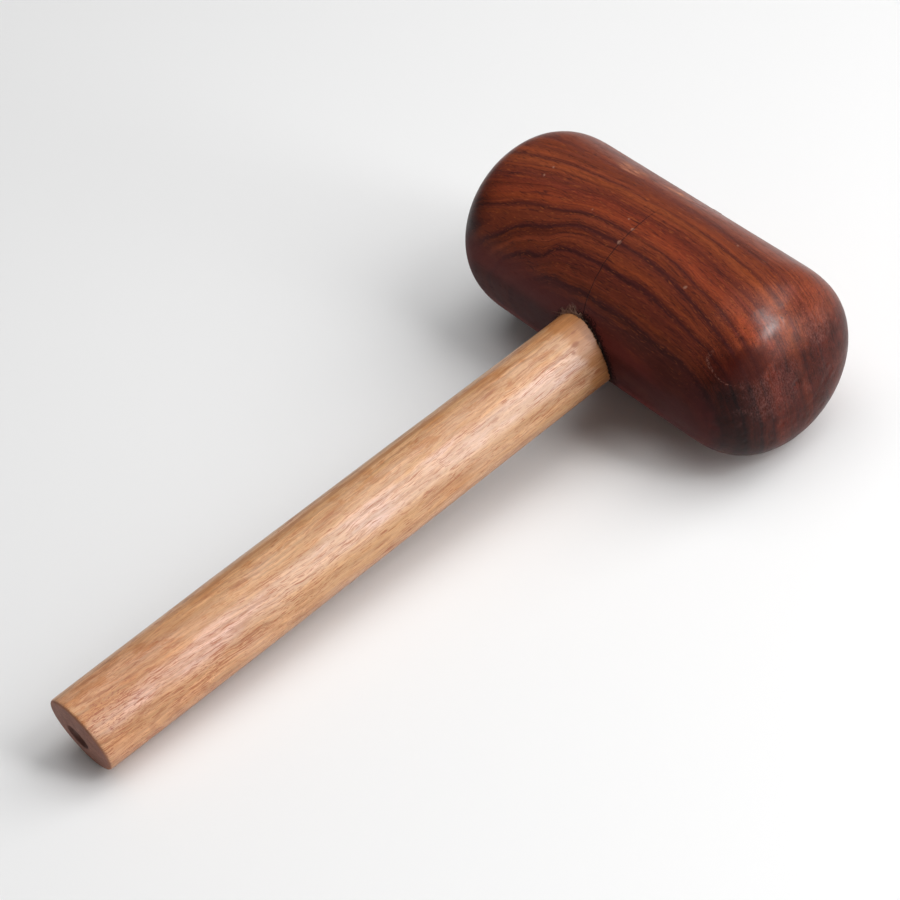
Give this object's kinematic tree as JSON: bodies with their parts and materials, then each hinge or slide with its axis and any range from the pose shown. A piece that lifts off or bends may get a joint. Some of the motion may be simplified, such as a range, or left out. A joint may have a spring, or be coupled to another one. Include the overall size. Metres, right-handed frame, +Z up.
{
  "type": "wooden mallet",
  "caption": "Small wooden mallet: turned hardwood head with domed striking ends, cross-bored for a plain tapered round handle that is glued and wedged, lying on its side.",
  "frame": {"origin": "on the surface the mallet lies on, below the middle of its bounding box", "axes": "+X along the head, +Y from the handle's butt towards the head, +Z up; the head lies on its side and the handle slopes down 4.51 degrees to its butt"},
  "size_m": [0.1362, 0.2648, 0.0635],
  "materials": {
    "head_wood": "semi-gloss varnished dark red-brown hardwood",
    "handle_wood": "satin varnished pale tan hardwood",
    "wedge_wood": "bare dark hardwood, sanded flush",
    "glue": "dried wood glue"
  },
  "bodies": {
    "root": {"head": "head_wood", "handle": "handle_wood", "wedge": "wedge_wood", "glue_line": "glue", "glue_bead": "glue"}
  },
  "joints": []
}
